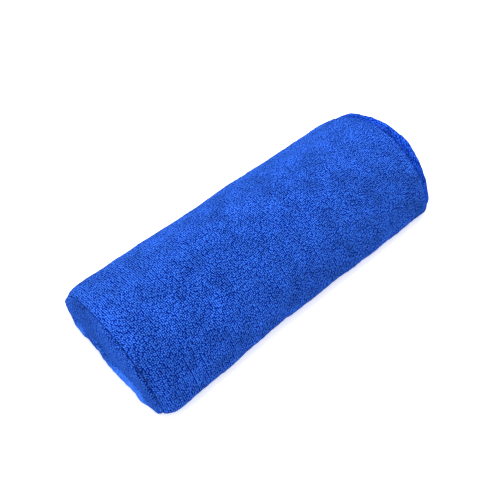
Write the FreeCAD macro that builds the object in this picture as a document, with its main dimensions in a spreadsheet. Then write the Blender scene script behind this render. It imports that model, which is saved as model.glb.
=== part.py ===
"""A small D-section support cushion: a foam core in a thin liner, inside a zipped towelling cover.

+X runs along the cushion, +Y to its zipped rear edge and +Z up. The origin is the middle of the flat base.
"""

import FreeCAD, Part
import math
import os
import Sketcher

DIMENSIONS = {
    # the cushion's outer form, to the face of the towelling
    "seam_length": 300.0,  # between the two end seams
    "width": 136.0,
    "height": 58.0,
    "corner_radius": 9.0,  # of the long bottom edges
    "end_bulge": 4.5,  # how far each end panel stands out past its seam
    "bulge_height": 26.0,  # of the middle of that bulge
    # layers, from the outside in
    "cover_thick": 1.6,
    "stitch_room": 0.5,  # between two sewn layers, where the thread lies
    "layer_gap": 0.1,
    "liner_thick": 0.4,
    "foam_corner": 8.0,  # the foam's own bottom edges are cut rounder
    "rim_length": 5.0,  # seam allowance turned in at each end
    "thread_thick": 0.4,
    "front_seam_turn": 30.0,  # degrees that the front seam lies back from straight down
    "stitch_from_gap": 2.5,  # from the zip's gap up to the upper row of stitches
    "lower_row_turn": 45.0,  # degrees down round the corner to the lower row
    # the zip, which lies along the rear bottom edge
    "zip_length": 240.0,  # from the bottom stop to the slider's nose when closed
    "zip_opening": 8.0,  # width of the gap between the two folded edges
    "zip_recess": 3.1,  # from the cover's face in to the tape's face
    "tape_thick": 0.5,
    "tape_edge": 1.2,  # from the zip's centre line to the tape's bare edge
    "tape_flat": 3.9,  # and to where the tape starts to bend with the cover
    "tape_lean": 25.0,  # degrees that the upper tape leans in above its bend
    "tape_drop": 2.6,  # how far the lower tape runs down at 45 degrees
    "tape_reach": 8.6,  # length of tape past the bend
    "tape_tail": 6.0,  # tape past each end of the zip
    "coil_wide": 1.8,
    "coil_thick": 1.6,
    "coil_gap": 0.1,
    "coil_round": 0.5,  # of the outer long edges of the coils and stops
    "stop_long": 2.2,
    "run_clear": 0.3,  # between pieces that slide or turn past each other
    # the slider and its pull tab
    "slider_long": 8.6,
    "slider_nose": 7.0,  # width at the end that closes the zip
    "slider_tail": 5.8,
    "slider_round": 1.2,
    "flange_wide": 0.6,
    "plate_thick": 1.2,
    "post_long": 2.6,
    "post_wide": 1.6,
    "bridge_long": 5.0,
    "bridge_wide": 1.6,
    "bridge_thick": 0.8,
    "bar_thick": 1.0,  # the pull tab's cross bar, and the tab itself
    "bar_round": 0.42,  # of the cross bar's long edges
    "tab_long": 21.0,
    "tab_root": 4.6,
    "tab_tip": 6.4,
    "tab_round": 2.1,  # of the tab's tip corners
    "tab_hole": 1.3,  # the hole's radius
    "tab_hole_in": 3.4,  # from the tab's tip to the centre of its hole
    "window_long": 3.3,
    "window_wide": 2.2,
}
OVERRUN = 20.0  # cutting tools reach this far past what they cut
NEAR = 0.01  # places and directions closer than this count as the same

Vector, Placement, Rotation = FreeCAD.Vector, FreeCAD.Placement, FreeCAD.Rotation
ACROSS = Rotation(Vector(1, 1, 1), 120)  # lays a sketch in the YZ plane, facing +X
ALONG = Rotation(Vector(0, 1, 0), 90)  # lays a cylinder's axis along X
HALF_TURN = Rotation(Vector(0, 0, 1), 180)
ZIP_FACE = Rotation(Vector(1, 0, 0), -90)  # a zip piece's own +Z faces out of the rear edge
START, END, CENTRE = 1, 2, 3  # the Sketcher's numbers for the points of a curve
ORIGIN, UPRIGHT = -1, -2  # and for the sketch's origin and its upright axis

# Distances worked out from the driving dimensions, as expressions.
HALF_SEAM = "(dims.seam_length / 2)"
HALF_WIDTH = "(dims.width / 2)"
RIM_FACE = "(dims.cover_thick + dims.stitch_room)"
RIM_BACK = f"({RIM_FACE} + dims.cover_thick)"
LINER_FACE = f"({RIM_BACK} + dims.layer_gap)"
LINER_BACK = f"({LINER_FACE} + dims.liner_thick)"
FOAM_FACE = f"({LINER_BACK} + dims.layer_gap)"
THREAD_IN = "(dims.cover_thick + dims.stitch_room / 2)"
CROWN = (
    "(((dims.width / 2 - dims.corner_radius)^2 + (dims.height - dims.corner_radius)^2"
    " - dims.corner_radius^2) / (2 * (dims.height - 2 * dims.corner_radius)))"
)
PANEL_EDGE = f"({HALF_SEAM} - dims.cover_thick)"
RIM_EDGE = f"({HALF_SEAM} - dims.rim_length)"
TAPE_FACE = f"({HALF_WIDTH} - dims.zip_recess)"
HALF_ZIP = "(dims.zip_length / 2)"
SLIDER_PLACE = f"({HALF_ZIP} - dims.slider_long / 2)"
CORNER_PLACE = f"({HALF_WIDTH} - dims.corner_radius)"
# Heights over the tape's face, in a zip piece's own frame.
TOP_PLATE = "(dims.coil_thick + dims.run_clear)"
BRIDGE_FOOT = f"({TOP_PLATE} + dims.plate_thick)"
BRIDGE_ROOM = "(dims.bar_thick + 2 * dims.run_clear)"
BAR_CENTRE = f"({BRIDGE_FOOT} + {BRIDGE_ROOM} / 2)"
BOTTOM_PLATE = "(-dims.tape_thick - dims.run_clear - dims.plate_thick)"

doc = FreeCAD.newDocument("support_cushion")


def make_sheet():
    """The spreadsheet of driving dimensions."""
    sheet = doc.addObject("Spreadsheet::Sheet", "dims")
    for row, (alias, size) in enumerate(DIMENSIONS.items(), start=1):
        sheet.set(f"A{row}", alias)
        sheet.set(f"B{row}", str(size))
        sheet.setAlias(f"B{row}", alias)
    doc.recompute()


def bind(thing, **expressions):
    """Tie properties to expressions; a double underscore in a name stands for a dot."""
    for name, expression in expressions.items():
        thing.setExpression(name.replace("__", "."), expression)
    return thing


def combine(kind, name, *parts):
    """A boolean: Part::Cut takes a base and a tool, the Multi kinds take any number of parts."""
    result = doc.addObject(kind, name)
    if kind == "Part::Cut":
        result.Base, result.Tool = parts
    else:
        result.Shapes = list(parts)
    return result


# ---------------------------------------------------------------- sketches


def dimension(sketch, name, expression, *constraint):
    """Add one dimension to a sketch, with a starting size, and bind it to an expression."""
    index = sketch.addConstraint(Sketcher.Constraint(*constraint))
    sketch.renameConstraint(index, name)
    sketch.setExpression(f"Constraints.{name}", expression)


def arc(y, z, radius, start, end):
    """A circular arc in a sketch, between two angles in radians."""
    return Part.ArcOfCircle(Part.Circle(Vector(y, z, 0), Vector(0, 0, 1), radius), start, end)


def d_sketch(name, inset, corner):
    """The D outline across the cushion, moved in by inset all round, with bottom corners of radius corner."""
    sketch = doc.addObject("Sketcher::SketchObject", name)
    sketch.Placement = Placement(Vector(), ACROSS)
    radius = DIMENSIONS["corner_radius"]
    reach = DIMENSIONS["width"] / 2 - radius
    rise = DIMENSIONS["height"] - radius
    crown = (reach**2 + rise**2 - radius**2) / (2 * (rise - radius))
    centre = DIMENSIONS["height"] - crown
    joint = math.atan2(radius - centre, reach)  # where the crown's arc meets the corner's
    base, right, top, left = range(4)
    sketch.addGeometry(Part.LineSegment(Vector(-reach, 0, 0), Vector(reach, 0, 0)), False)
    sketch.addGeometry(arc(reach, radius, radius, -math.pi / 2, joint), False)
    sketch.addGeometry(arc(0, centre, crown, joint, math.pi - joint), False)
    sketch.addGeometry(arc(-reach, radius, radius, math.pi - joint, 1.5 * math.pi), False)
    for curve in (base, right, top, left):
        following = (curve + 1) % 4
        sketch.addConstraint(Sketcher.Constraint("Tangent", curve, END, following, START))
    sketch.addConstraint(Sketcher.Constraint("Symmetric", base, START, base, END, UPRIGHT))
    sketch.addConstraint(Sketcher.Constraint("Equal", right, left))
    crown_now = f"({CROWN} - {inset})"
    corner_over_centre = f"({inset} + {corner} - dims.height + {CROWN})"
    reach_now = f"sqrt(({crown_now} - {corner})^2 - {corner_over_centre}^2)"
    dimension(sketch, "corner", corner, "Radius", right, radius)
    dimension(sketch, "reach", reach_now, "DistanceX", ORIGIN, START, right, CENTRE, reach)
    dimension(sketch, "lift", inset, "DistanceY", ORIGIN, START, base, START, 1.0)
    dimension(sketch, "crown", crown_now, "Radius", top, crown)
    return sketch


def outline(sketch, corners):
    """A closed polygon through corners, each a pair of expressions in the sketch's own plane."""
    count = len(corners)
    turns = [2 * math.pi * i / count for i in range(count)]
    spots = [Vector(math.cos(turn), math.sin(turn), 0) for turn in turns]
    lines = []
    for i, spot in enumerate(spots):
        side = Part.LineSegment(spot, spots[(i + 1) % count])
        lines.append(sketch.addGeometry(side, False))
    for i, line in enumerate(lines):
        sketch.addConstraint(Sketcher.Constraint("Coincident", line, END, lines[(i + 1) % count], START))
    for i, (x, y) in enumerate(corners):
        line, spot = lines[i], spots[i]
        dimension(sketch, f"x{i}", x, "DistanceX", ORIGIN, START, line, START, spot.x)
        dimension(sketch, f"y{i}", y, "DistanceY", ORIGIN, START, line, START, spot.y)


def ring(sketch, x, y, radius):
    """A circle whose centre and radius are expressions."""
    circle = sketch.addGeometry(Part.Circle(Vector(1, 1, 0), Vector(0, 0, 1), 1.0), False)
    dimension(sketch, "across", x, "DistanceX", ORIGIN, START, circle, CENTRE, 1.0)
    dimension(sketch, "up", y, "DistanceY", ORIGIN, START, circle, CENTRE, 1.0)
    dimension(sketch, "radius", radius, "Radius", circle, 1.0)


# ---------------------------------------------------------------- solids of the cushion


def d_block(name, inset, length, corner=None):
    """A straight bar of the D outline, centred on the origin."""
    corner = corner or f"(dims.corner_radius - {inset})"
    block = doc.addObject("Part::Extrusion", name)
    block.Base = d_sketch(name + "_outline", inset, corner)
    block.DirMode = "Custom"
    block.Dir = Vector(1, 0, 0)
    block.Symmetric = True
    block.Solid = True
    return bind(block, LengthFwd=length)


def domed_block(name, inset, corner=None):
    """The D bar with both ends domed, every face moved in by inset."""
    bar = d_block(name + "_bar", inset, "(dims.seam_length + 4 * dims.end_bulge)", corner)
    dome_radius = f"(({HALF_WIDTH}^2 + dims.end_bulge^2) / (2 * dims.end_bulge))"
    dome_place = f"({dome_radius} - {HALF_SEAM} - dims.end_bulge)"
    domes = []
    for side, sign in (("left", ""), ("right", "-")):
        dome = doc.addObject("Part::Sphere", f"{name}_{side}_dome")
        dome.Placement = Placement(Vector(), Rotation() if side == "left" else HALF_TURN)
        bind(
            dome,
            Radius=f"{dome_radius} - {inset}",
            Placement__Base__x=f"{sign}{dome_place}",
            Placement__Base__z="dims.bulge_height",
        )
        domes.append(dome)
    return combine("Part::MultiCommon", name, bar, *domes)


def zone(name, x, length, y="-dims.width", depth="2 * dims.width", z=None, height=None):
    """A box that picks out part of the cushion; by default it spans all of the width and height."""
    box = doc.addObject("Part::Box", name)
    z = z or f"-{OVERRUN}"
    height = height or f"dims.height + 2 * {OVERRUN}"
    return bind(
        box,
        Placement__Base__x=x,
        Placement__Base__y=y,
        Placement__Base__z=z,
        Length=length,
        Width=depth,
        Height=height,
    )


def end_zone(name, side, edge):
    """Everything past the plane x = edge, at one end."""
    reach = f"{HALF_SEAM} + {OVERRUN} - {edge}"
    start = edge if side == "right" else f"-{HALF_SEAM} - {OVERRUN}"
    return zone(name, start, reach)


def rod(name, x, length, y, z, radius="dims.thread_thick / 2"):
    """A round rod along X."""
    cylinder = doc.addObject("Part::Cylinder", name)
    cylinder.Placement = Placement(Vector(), ALONG)
    return bind(
        cylinder,
        Radius=radius,
        Height=length,
        Placement__Base__x=x,
        Placement__Base__y=y,
        Placement__Base__z=z,
    )


def make_cover():
    """Crown, base and two domed end panels, with the zip's gap at the rear bottom edge."""
    form = domed_block("cover_form", "0")
    hollow = domed_block("cover_hollow", "dims.cover_thick")
    skin = combine("Part::Cut", "cover_skin", form, hollow)
    rim_outside = d_block("rim_outside", RIM_FACE, "2 * dims.seam_length")
    rim_inside = d_block("rim_inside", RIM_BACK, "3 * dims.seam_length")
    rim_tube = combine("Part::Cut", "rim_tube", rim_outside, rim_inside)
    panels = {}
    for side in ("left", "right"):
        dome_zone = end_zone(f"{side}_end", side, PANEL_EDGE)
        dome = combine("Part::MultiCommon", f"{side}_dome_skin", skin, dome_zone)
        rim_zone = end_zone(f"{side}_rim_zone", side, RIM_EDGE)
        rim = combine("Part::MultiCommon", f"{side}_rim", rim_tube, form, rim_zone)
        panels[f"{side}_end_panel"] = combine("Part::MultiFuse", f"{side}_panel", dome, rim)

    wall_outside = d_block("wall_outside", "0", f"2 * {PANEL_EDGE}")
    wall_inside = d_block("wall_inside", "dims.cover_thick", "2 * dims.seam_length")
    wall = combine("Part::Cut", "wall", wall_outside, wall_inside)
    base_zone = zone(
        "base_zone",
        "-dims.seam_length",
        "2 * dims.seam_length",
        y=f"-{HALF_WIDTH} + dims.corner_radius / 2",
        z=f"-{OVERRUN}",
        height=f"{OVERRUN} + dims.corner_radius",
    )
    gap = zone(
        "zip_gap",
        f"-{HALF_ZIP} - dims.stop_long",
        "dims.zip_length + 2 * dims.stop_long",
        y="0",
        z="dims.corner_radius - dims.zip_opening / 2",
        height="dims.zip_opening",
    )
    crown = combine("Part::Cut", "crown_wall", wall, base_zone)
    base = combine("Part::MultiCommon", "base_wall", wall, base_zone)
    panels["crown_panel"] = combine("Part::Cut", "crown_with_gap", crown, gap)
    panels["base_panel"] = combine("Part::Cut", "base_with_gap", base, gap)
    return panels


def make_filling():
    """The foam core and its three-piece liner."""
    liner_corner = "(dims.foam_corner + dims.liner_thick + dims.layer_gap)"
    liner_outside = domed_block("liner_outside", LINER_FACE, liner_corner)
    liner_inside = domed_block("liner_inside", LINER_BACK, "(dims.foam_corner + dims.layer_gap)")
    liner = combine("Part::Cut", "liner", liner_outside, liner_inside)
    sleeve_zone = zone("sleeve_zone", f"-{RIM_EDGE}", f"2 * {RIM_EDGE}")
    pieces = {
        "foam_core": domed_block("foam", FOAM_FACE, "dims.foam_corner"),
        "liner_sleeve": combine("Part::MultiCommon", "sleeve", liner, sleeve_zone),
    }
    for side in ("left", "right"):
        cap_zone = end_zone(f"{side}_cap_zone", side, RIM_EDGE)
        pieces[f"liner_end_{side}"] = combine("Part::MultiCommon", f"{side}_cap", liner, cap_zone)
    return pieces


def make_seams():
    """The sewing threads, which lie between the layers that they join."""
    pieces = {}
    for side, sign in (("left", "-"), ("right", "")):
        path = d_sketch(f"{side}_seam_path", THREAD_IN, f"(dims.corner_radius - {THREAD_IN})")
        bind(path, Placement__Base__x=f"{sign}({PANEL_EDGE} + {RIM_EDGE}) / 2")
        section = doc.addObject("Part::Circle", f"{side}_seam_section")
        section.Placement = Placement(Vector(), ACROSS.multiply(Rotation(Vector(0, 1, 0), 90)))
        bind(
            section,
            Radius="dims.thread_thick / 2",
            Placement__Base__x=f"{sign}({PANEL_EDGE} + {RIM_EDGE}) / 2",
            Placement__Base__y=f"-{CORNER_PLACE}",
            Placement__Base__z=THREAD_IN,
        )
        thread = doc.addObject("Part::Sweep", f"{side}_seam_sweep")
        thread.Sections = [section]
        thread.Spine = (path, [f"Edge{i + 1}" for i in range(4)])
        thread.Solid = True
        thread.Frenet = True
        pieces[f"{side}_end_seam_thread"] = thread
    row_radius = f"(dims.corner_radius - {THREAD_IN})"
    front_turn = "(dims.front_seam_turn * 1deg)"
    long_seam = f"({RIM_EDGE} - dims.layer_gap)"
    pieces["front_seam_thread"] = rod(
        "front_thread",
        f"-{long_seam}",
        f"2 * {long_seam}",
        y=f"-{CORNER_PLACE} - {row_radius} * sin{front_turn}",
        z=f"dims.corner_radius - {row_radius} * cos{front_turn}",
    )
    closed_from = f"({HALF_ZIP} + dims.tape_tail + dims.layer_gap)"
    for side, start in (("left", f"-{long_seam}"), ("right", closed_from)):
        pieces[f"rear_seam_thread_{side}"] = rod(
            f"rear_thread_{side}",
            start,
            f"{long_seam} - {closed_from}",
            y=f"{HALF_WIDTH} - {THREAD_IN}",
            z="dims.corner_radius",
        )
    stitch_height = "(dims.corner_radius + dims.zip_opening / 2 + dims.stitch_from_gap)"
    lower_turn = "(dims.lower_row_turn * 1deg)"
    over_centre = f"({stitch_height} - dims.height + {CROWN})"
    rows = {
        "upper": (f"sqrt(({CROWN} - {THREAD_IN})^2 - {over_centre}^2)", stitch_height),
        "lower": (
            f"{CORNER_PLACE} + {row_radius} * cos{lower_turn}",
            f"dims.corner_radius - {row_radius} * sin{lower_turn}",
        ),
    }
    for row, (y, z) in rows.items():
        stitching = rod(f"stitching_{row}", f"-{HALF_ZIP}", "dims.zip_length", y=y, z=z)
        pieces[f"zip_stitching_{row}"] = stitching
    return pieces


# ---------------------------------------------------------------- the zip


def make_tapes():
    """Two woven tapes, flat where the slider runs and then bent to follow the cover's rear bottom edge."""
    face, back = TAPE_FACE, f"({TAPE_FACE} - dims.tape_thick)"
    lean, mitre = "(dims.tape_lean * 1deg)", "tan(dims.tape_lean * 0.5deg)"
    bend = "(dims.corner_radius + dims.tape_flat)"
    top_y = f"({face} - dims.tape_reach * sin{lean})"
    top_z = f"({bend} + dims.tape_reach * cos{lean})"
    start = "(dims.corner_radius + dims.tape_edge)"
    upper = [
        (face, start),
        (face, bend),
        (top_y, top_z),
        (f"({top_y} - dims.tape_thick * cos{lean})", f"({top_z} - dims.tape_thick * sin{lean})"),
        (back, f"({bend} - dims.tape_thick * {mitre})"),
        (back, start),
    ]
    start = "(dims.corner_radius - dims.tape_edge)"
    bend = "(dims.corner_radius - dims.tape_flat)"
    foot_y, foot_z = f"({face} - dims.tape_drop)", f"({bend} - dims.tape_drop)"
    end_y = f"({foot_y} - dims.tape_reach + dims.tape_drop * sqrt(2))"
    mitre = "(dims.tape_thick * tan(22.5deg))"
    lower = [
        (face, start),
        (face, bend),
        (foot_y, foot_z),
        (end_y, foot_z),
        (end_y, f"({foot_z} + dims.tape_thick)"),
        (f"({foot_y} - {mitre})", f"({foot_z} + dims.tape_thick)"),
        (back, f"({bend} + {mitre})"),
        (back, start),
    ]
    pieces = {}
    for side, corners in (("upper", upper), ("lower", lower)):
        sketch = doc.addObject("Sketcher::SketchObject", f"{side}_tape_outline")
        sketch.Placement = Placement(Vector(), ACROSS)
        outline(sketch, corners)
        tape = doc.addObject("Part::Extrusion", f"{side}_tape")
        tape.Base = sketch
        tape.DirMode = "Custom"
        tape.Dir = Vector(1, 0, 0)
        tape.Symmetric = True
        tape.Solid = True
        pieces[f"zip_tape_{side}"] = bind(tape, LengthFwd="dims.zip_length + 2 * dims.tape_tail")
    return pieces


def block(name, x, length, z, height):
    """A bar on the tape's face, as deep as the coil, with its outer long edges rounded."""
    stock = doc.addObject("Part::Box", name + "_stock")
    bind(
        stock,
        Placement__Base__x=x,
        Placement__Base__y=TAPE_FACE,
        Placement__Base__z=z,
        Length=length,
        Width="dims.coil_thick",
        Height=height,
    )
    doc.recompute()
    face = stock.Shape.BoundBox.YMax
    radius = DIMENSIONS["coil_round"]
    rounded = []
    for number, edge in enumerate(stock.Shape.Edges, start=1):
        ends = [vertex.Point for vertex in edge.Vertexes]
        along_x = abs(ends[0].x - ends[1].x) > abs(ends[0].z - ends[1].z)
        if along_x and all(abs(end.y - face) < NEAR for end in ends):
            rounded.append((number, radius, radius))
    fillet = doc.addObject("Part::Fillet", name)
    fillet.Base = stock
    fillet.Edges = rounded
    return fillet


def make_coils_and_stops():
    """The two coil rows, and the stops that end the slider's run."""
    row_end = f"({SLIDER_PLACE} + dims.slider_long / 2 - dims.post_long - 2 * dims.run_clear)"
    row_length = f"({row_end} + {HALF_ZIP})"
    rows = {
        "upper": "(dims.corner_radius + dims.coil_gap / 2)",
        "lower": "(dims.corner_radius - dims.coil_gap / 2 - dims.coil_wide)",
    }
    stops = {
        "upper": "(dims.corner_radius + dims.tape_edge)",
        "lower": "(dims.corner_radius - dims.tape_edge - dims.coil_wide)",
    }
    pieces = {}
    stop_start = f"({HALF_ZIP} + dims.run_clear)"
    stop_long = "(dims.stop_long - 2 * dims.run_clear)"
    for row in ("upper", "lower"):
        coil = block(f"coil_{row}", f"-{HALF_ZIP}", row_length, rows[row], "dims.coil_wide")
        stop = block(f"top_stop_{row}", stop_start, stop_long, stops[row], "dims.coil_wide")
        pieces[f"zip_coil_{row}"] = coil
        pieces[f"zip_top_stop_{row}"] = stop
    stop_half = "(dims.coil_wide + dims.coil_gap / 2)"
    pieces["zip_bottom_stop"] = block(
        "bottom_stop",
        f"-{HALF_ZIP} - dims.stop_long",
        "(dims.stop_long - dims.layer_gap)",
        f"dims.corner_radius - {stop_half}",
        f"2 * {stop_half}",
    )
    return pieces


def new_body(name, x, lift):
    """A PartDesign body on the zip's centre line, its own origin lift above the tape's face."""
    body = doc.addObject("PartDesign::Body", name)
    body.Placement = Placement(Vector(), ZIP_FACE)
    return bind(
        body,
        Placement__Base__x=x,
        Placement__Base__y=f"{TAPE_FACE} + {lift}",
        Placement__Base__z="dims.corner_radius",
    )


def body_sketch(body, name, plane, offset="0"):
    """A sketch on one of the body's own planes, moved along its normal by offset."""
    sketch = body.newObject("Sketcher::SketchObject", name)
    support = next(item for item in body.Origin.OriginFeatures if item.Role == plane)
    sketch.AttachmentSupport = [(support, "")]
    sketch.MapMode = "FlatFace"
    return bind(sketch, AttachmentOffset__Base__z=offset)


def pad(body, name, plane, corners, length, offset="0", symmetric=False):
    """A pad of the polygon through corners, added to the body."""
    sketch = body_sketch(body, name + "_outline", plane, offset)
    outline(sketch, corners)
    feature = body.newObject("PartDesign::Pad", name)
    feature.Profile = sketch
    if symmetric:
        feature.SideType = "Symmetric"
    bind(feature, Length=length)
    doc.recompute()
    return feature


def mirrored(corners):
    """The corners of a shape symmetric about its x axis, from those of its +y half."""
    return corners + [(x, f"-{y}") for x, y in reversed(corners)]


def round_edges(body, name, radius, wanted):
    """Fillet the edges of the body's last feature that the test wanted picks, by a radius expression."""
    tip = body.Tip
    edges = [f"Edge{i}" for i, edge in enumerate(tip.Shape.Edges, start=1) if wanted(edge)]
    fillet = body.newObject("PartDesign::Fillet", name)
    fillet.Base = (tip, edges)
    bind(fillet, Radius=radius)
    doc.recompute()


def upright(edge):
    """True for a straight edge along the body's own Z."""
    return edge.Curve.TypeId == "Part::GeomLine" and abs(edge.Curve.Direction.z) > 1 - NEAR


def make_slider():
    """Two plates joined by the dividing post, side flanges, and a bridge for the pull tab."""
    body = new_body("slider", SLIDER_PLACE, "0")
    nose, tail = "(dims.slider_long / 2)", "(-dims.slider_long / 2)"
    nose_half, tail_half = "(dims.slider_nose / 2)", "(dims.slider_tail / 2)"
    post_back = f"({nose} - dims.post_long)"
    post_shoulder = f"({nose} - dims.post_long / 3)"
    post = mirrored([(nose, "(dims.post_wide / 4)"), (post_shoulder, "(dims.post_wide / 2)")])
    post.insert(2, (post_back, "0"))
    plate = mirrored([(nose, nose_half), (tail, tail_half)])
    post_height = f"({BRIDGE_FOOT} - {BOTTOM_PLATE})"
    pad(body, "post", "XY_Plane", post, post_height, offset=BOTTOM_PLATE)
    pad(body, "bottom_plate", "XY_Plane", plate, "dims.plate_thick", offset=BOTTOM_PLATE)
    pad(body, "top_plate", "XY_Plane", plate, "dims.plate_thick", offset=TOP_PLATE)
    round_edges(body, "plate_corners", "dims.slider_round", upright_at_end)
    for side, sign in (("upper", ""), ("lower", "-")):
        flange = [
            (f"({nose} - dims.slider_round)", f"{sign}({nose_half} - dims.layer_gap)"),
            (f"({tail} + dims.slider_round)", f"{sign}({tail_half} - dims.layer_gap)"),
            (f"({tail} + dims.slider_round)", f"{sign}({tail_half} - dims.flange_wide)"),
            (f"({nose} - dims.slider_round)", f"{sign}({nose_half} - dims.flange_wide)"),
        ]
        height = f"({TOP_PLATE} - dims.run_clear + dims.layer_gap)"
        pad(body, f"flange_{side}", "XY_Plane", flange, height, offset="dims.run_clear")
    half, top = "(dims.bridge_long / 2)", f"({BRIDGE_FOOT} + {BRIDGE_ROOM} + dims.bridge_thick)"
    leg, under = f"({half} - dims.bridge_thick)", f"({BRIDGE_FOOT} + {BRIDGE_ROOM})"
    foot = f"({BRIDGE_FOOT} - dims.layer_gap)"
    right = [(half, foot), (half, top)]
    left = [(f"-{half}", top), (f"-{half}", foot), (f"-{leg}", foot), (f"-{leg}", under)]
    arch = right + left + [(leg, under), (leg, foot)]
    pad(body, "bridge", "XZ_Plane", arch, "dims.bridge_wide", symmetric=True)
    return {"zip_slider": body}


def upright_at_end(edge):
    """True for the plates' own upright corner edges, at the slider's nose and tail."""
    half = DIMENSIONS["slider_long"] / 2
    spot = edge.Vertexes[0].Point
    at_corner = abs(abs(spot.x) - half) < NEAR and abs(spot.y) > DIMENSIONS["post_wide"]
    return upright(edge) and at_corner


def make_pull_tab():
    """A tapered tab whose cross bar passes under the slider's bridge; it lies back along the closed zip."""
    body = new_body("pull_tab", SLIDER_PLACE, BAR_CENTRE)
    root, tip = "(dims.bar_thick / 2)", "(dims.bar_thick / 2 - dims.tab_long)"
    plate = mirrored([(root, "(dims.tab_root / 2)"), (tip, "(dims.tab_tip / 2)")])
    pad(body, "plate", "XY_Plane", plate, "dims.bar_thick", symmetric=True)
    round_edges(body, "tip_corners", "dims.tab_round", upright_at_tip)
    bar_back, window_half = "(-dims.bar_thick / 2)", "(dims.window_wide / 2)"
    window = mirrored([(bar_back, window_half), ("(-dims.window_long)", window_half)])
    holes = (
        ("window", lambda sketch: outline(sketch, window)),
        ("hole", lambda sketch: ring(sketch, f"({tip} + dims.tab_hole_in)", "0", "dims.tab_hole")),
    )
    for name, draw in holes:
        sketch = body_sketch(body, name + "_outline", "XY_Plane")
        draw(sketch)
        pocket = body.newObject("PartDesign::Pocket", name)
        pocket.Profile = sketch
        pocket.SideType = "Symmetric"
        pocket.Type = "ThroughAll"
        doc.recompute()
    round_edges(body, "bar_edges", "dims.bar_round", on_the_bar)
    return {"zip_pull_tab": body}


def upright_at_tip(edge):
    """True for the tab's upright corner edges at its tip, before its window and hole are cut."""
    return upright(edge) and edge.Vertexes[0].Point.x < 0


def on_the_bar(edge):
    """True for the long edges of the cross bar, which is round so that it can turn under the bridge."""
    if edge.Curve.TypeId != "Part::GeomLine" or abs(edge.Curve.Direction.y) < 1 - NEAR:
        return False
    return abs(edge.Vertexes[0].Point.x) < DIMENSIONS["bar_thick"] / 2 + NEAR


# ---------------------------------------------------------------- build, check and write

make_sheet()
nodes = {}
for pieces in (
    make_cover(),
    make_filling(),
    make_seams(),
    make_tapes(),
    make_coils_and_stops(),
    make_slider(),
    make_pull_tab(),
):
    nodes.update(pieces)
for name, part in nodes.items():
    part.Label = name
doc.recompute()

for thing in doc.Objects:
    assert not {"Invalid", "Error"} & set(thing.State), f"{thing.Name} is {thing.State}"
os.makedirs("parts", exist_ok=True)
for name, part in nodes.items():
    shape = part.Shape
    assert not shape.isNull() and shape.isValid() and shape.Solids, f"{name} has no valid solid"
    shape.exportStep(f"parts/{name}.step")
    print(f"{name}: {len(shape.Solids)} solid, {shape.Volume:.1f} mm3")
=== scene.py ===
import math
from types import SimpleNamespace

import bpy
import numpy as np
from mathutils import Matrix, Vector


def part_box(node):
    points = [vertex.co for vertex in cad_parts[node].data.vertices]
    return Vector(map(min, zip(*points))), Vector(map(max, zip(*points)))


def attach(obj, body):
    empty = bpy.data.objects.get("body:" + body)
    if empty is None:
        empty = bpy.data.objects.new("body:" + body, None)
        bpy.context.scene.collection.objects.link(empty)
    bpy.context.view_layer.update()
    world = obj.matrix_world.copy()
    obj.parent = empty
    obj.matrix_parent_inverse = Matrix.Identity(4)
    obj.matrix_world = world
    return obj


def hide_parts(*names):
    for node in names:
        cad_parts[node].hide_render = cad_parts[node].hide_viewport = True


# A towelling-covered lumbar cushion: a D-section foam block in a zipped cover.
# Lengths are in millimetres until mesh_piece() writes them in metres.
# Sections are read in the plane of y (front to rear) and z (up), and x runs from end to end.

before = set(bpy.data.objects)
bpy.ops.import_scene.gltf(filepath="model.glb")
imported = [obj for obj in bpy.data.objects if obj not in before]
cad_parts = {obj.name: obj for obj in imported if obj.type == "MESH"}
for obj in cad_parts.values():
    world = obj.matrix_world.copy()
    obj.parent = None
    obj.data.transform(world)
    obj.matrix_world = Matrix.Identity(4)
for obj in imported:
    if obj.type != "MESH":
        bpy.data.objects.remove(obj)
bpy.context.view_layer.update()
MM = 0.001


def box_mm(node):
    """A CAD node's lowest and highest corners."""
    low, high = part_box(node)
    return np.array(low) / MM, np.array(high) / MM


# ---------------- sizes from the CAD

crown_low, crown_high = box_mm("crown_panel")
end_low = box_mm("left_end_panel")[0]
foam_high = box_mm("foam_core")[1]
liner_high = box_mm("liner_sleeve")[1]
liner_end_high = box_mm("liner_end_right")[1]
tape_low, tape_high = box_mm("zip_tape_upper")
coil_low, coil_high = box_mm("zip_coil_upper")
row_high = box_mm("zip_stitching_upper")[1]
rear_low, rear_high = box_mm("rear_seam_thread_right")
stop_low = box_mm("zip_bottom_stop")[0]

COVER = 1.6  # the towelling's thickness
WIDTH = crown_high[1] - crown_low[1]
HEIGHT = crown_high[2]
HALF = crown_high[0] + COVER
BULGE = -end_low[0] - HALF
SLACK_BULGE = 0.35 * BULGE
CORNER = 9.0  # radius of the bottom edges
FRONT_SEAM_TURN = math.radians(30)
ZIP_Z = (rear_low[2] + rear_high[2]) / 2
ZIP_HALF = -stop_low[0]
ZIP_OPENING = 4.0  # from the zip's centre line to each panel's edge
FOAM_INSET = HEIGHT - foam_high[2]
LINER_INSET = HEIGHT - liner_high[2]

# ---------------- the shape seen

END_ROUND = 14.0  # over this run the ends are drawn in and lifted
END_DRAW = 0.105
END_RISE = 0.058
ARCH = 0.042
SETTLE = 0.012
WAIST = 4.8
WAIST_TOP = 0.6 * HEIGHT
WAIST_FULL = 1.03
NOTCH_X = -28.0
NOTCH_SOFT = 30.0
DISC_CENTRE = np.array([0.0, 0.4 * HEIGHT])
DOME_POWER = 2.5
EDGE_ROLL = 1.7
RIPPLE_WAVES = 28


def unit(vectors):
    """Vectors of length 1."""
    return vectors / np.maximum(np.linalg.norm(vectors, axis=-1, keepdims=True), 1e-9)


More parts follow.
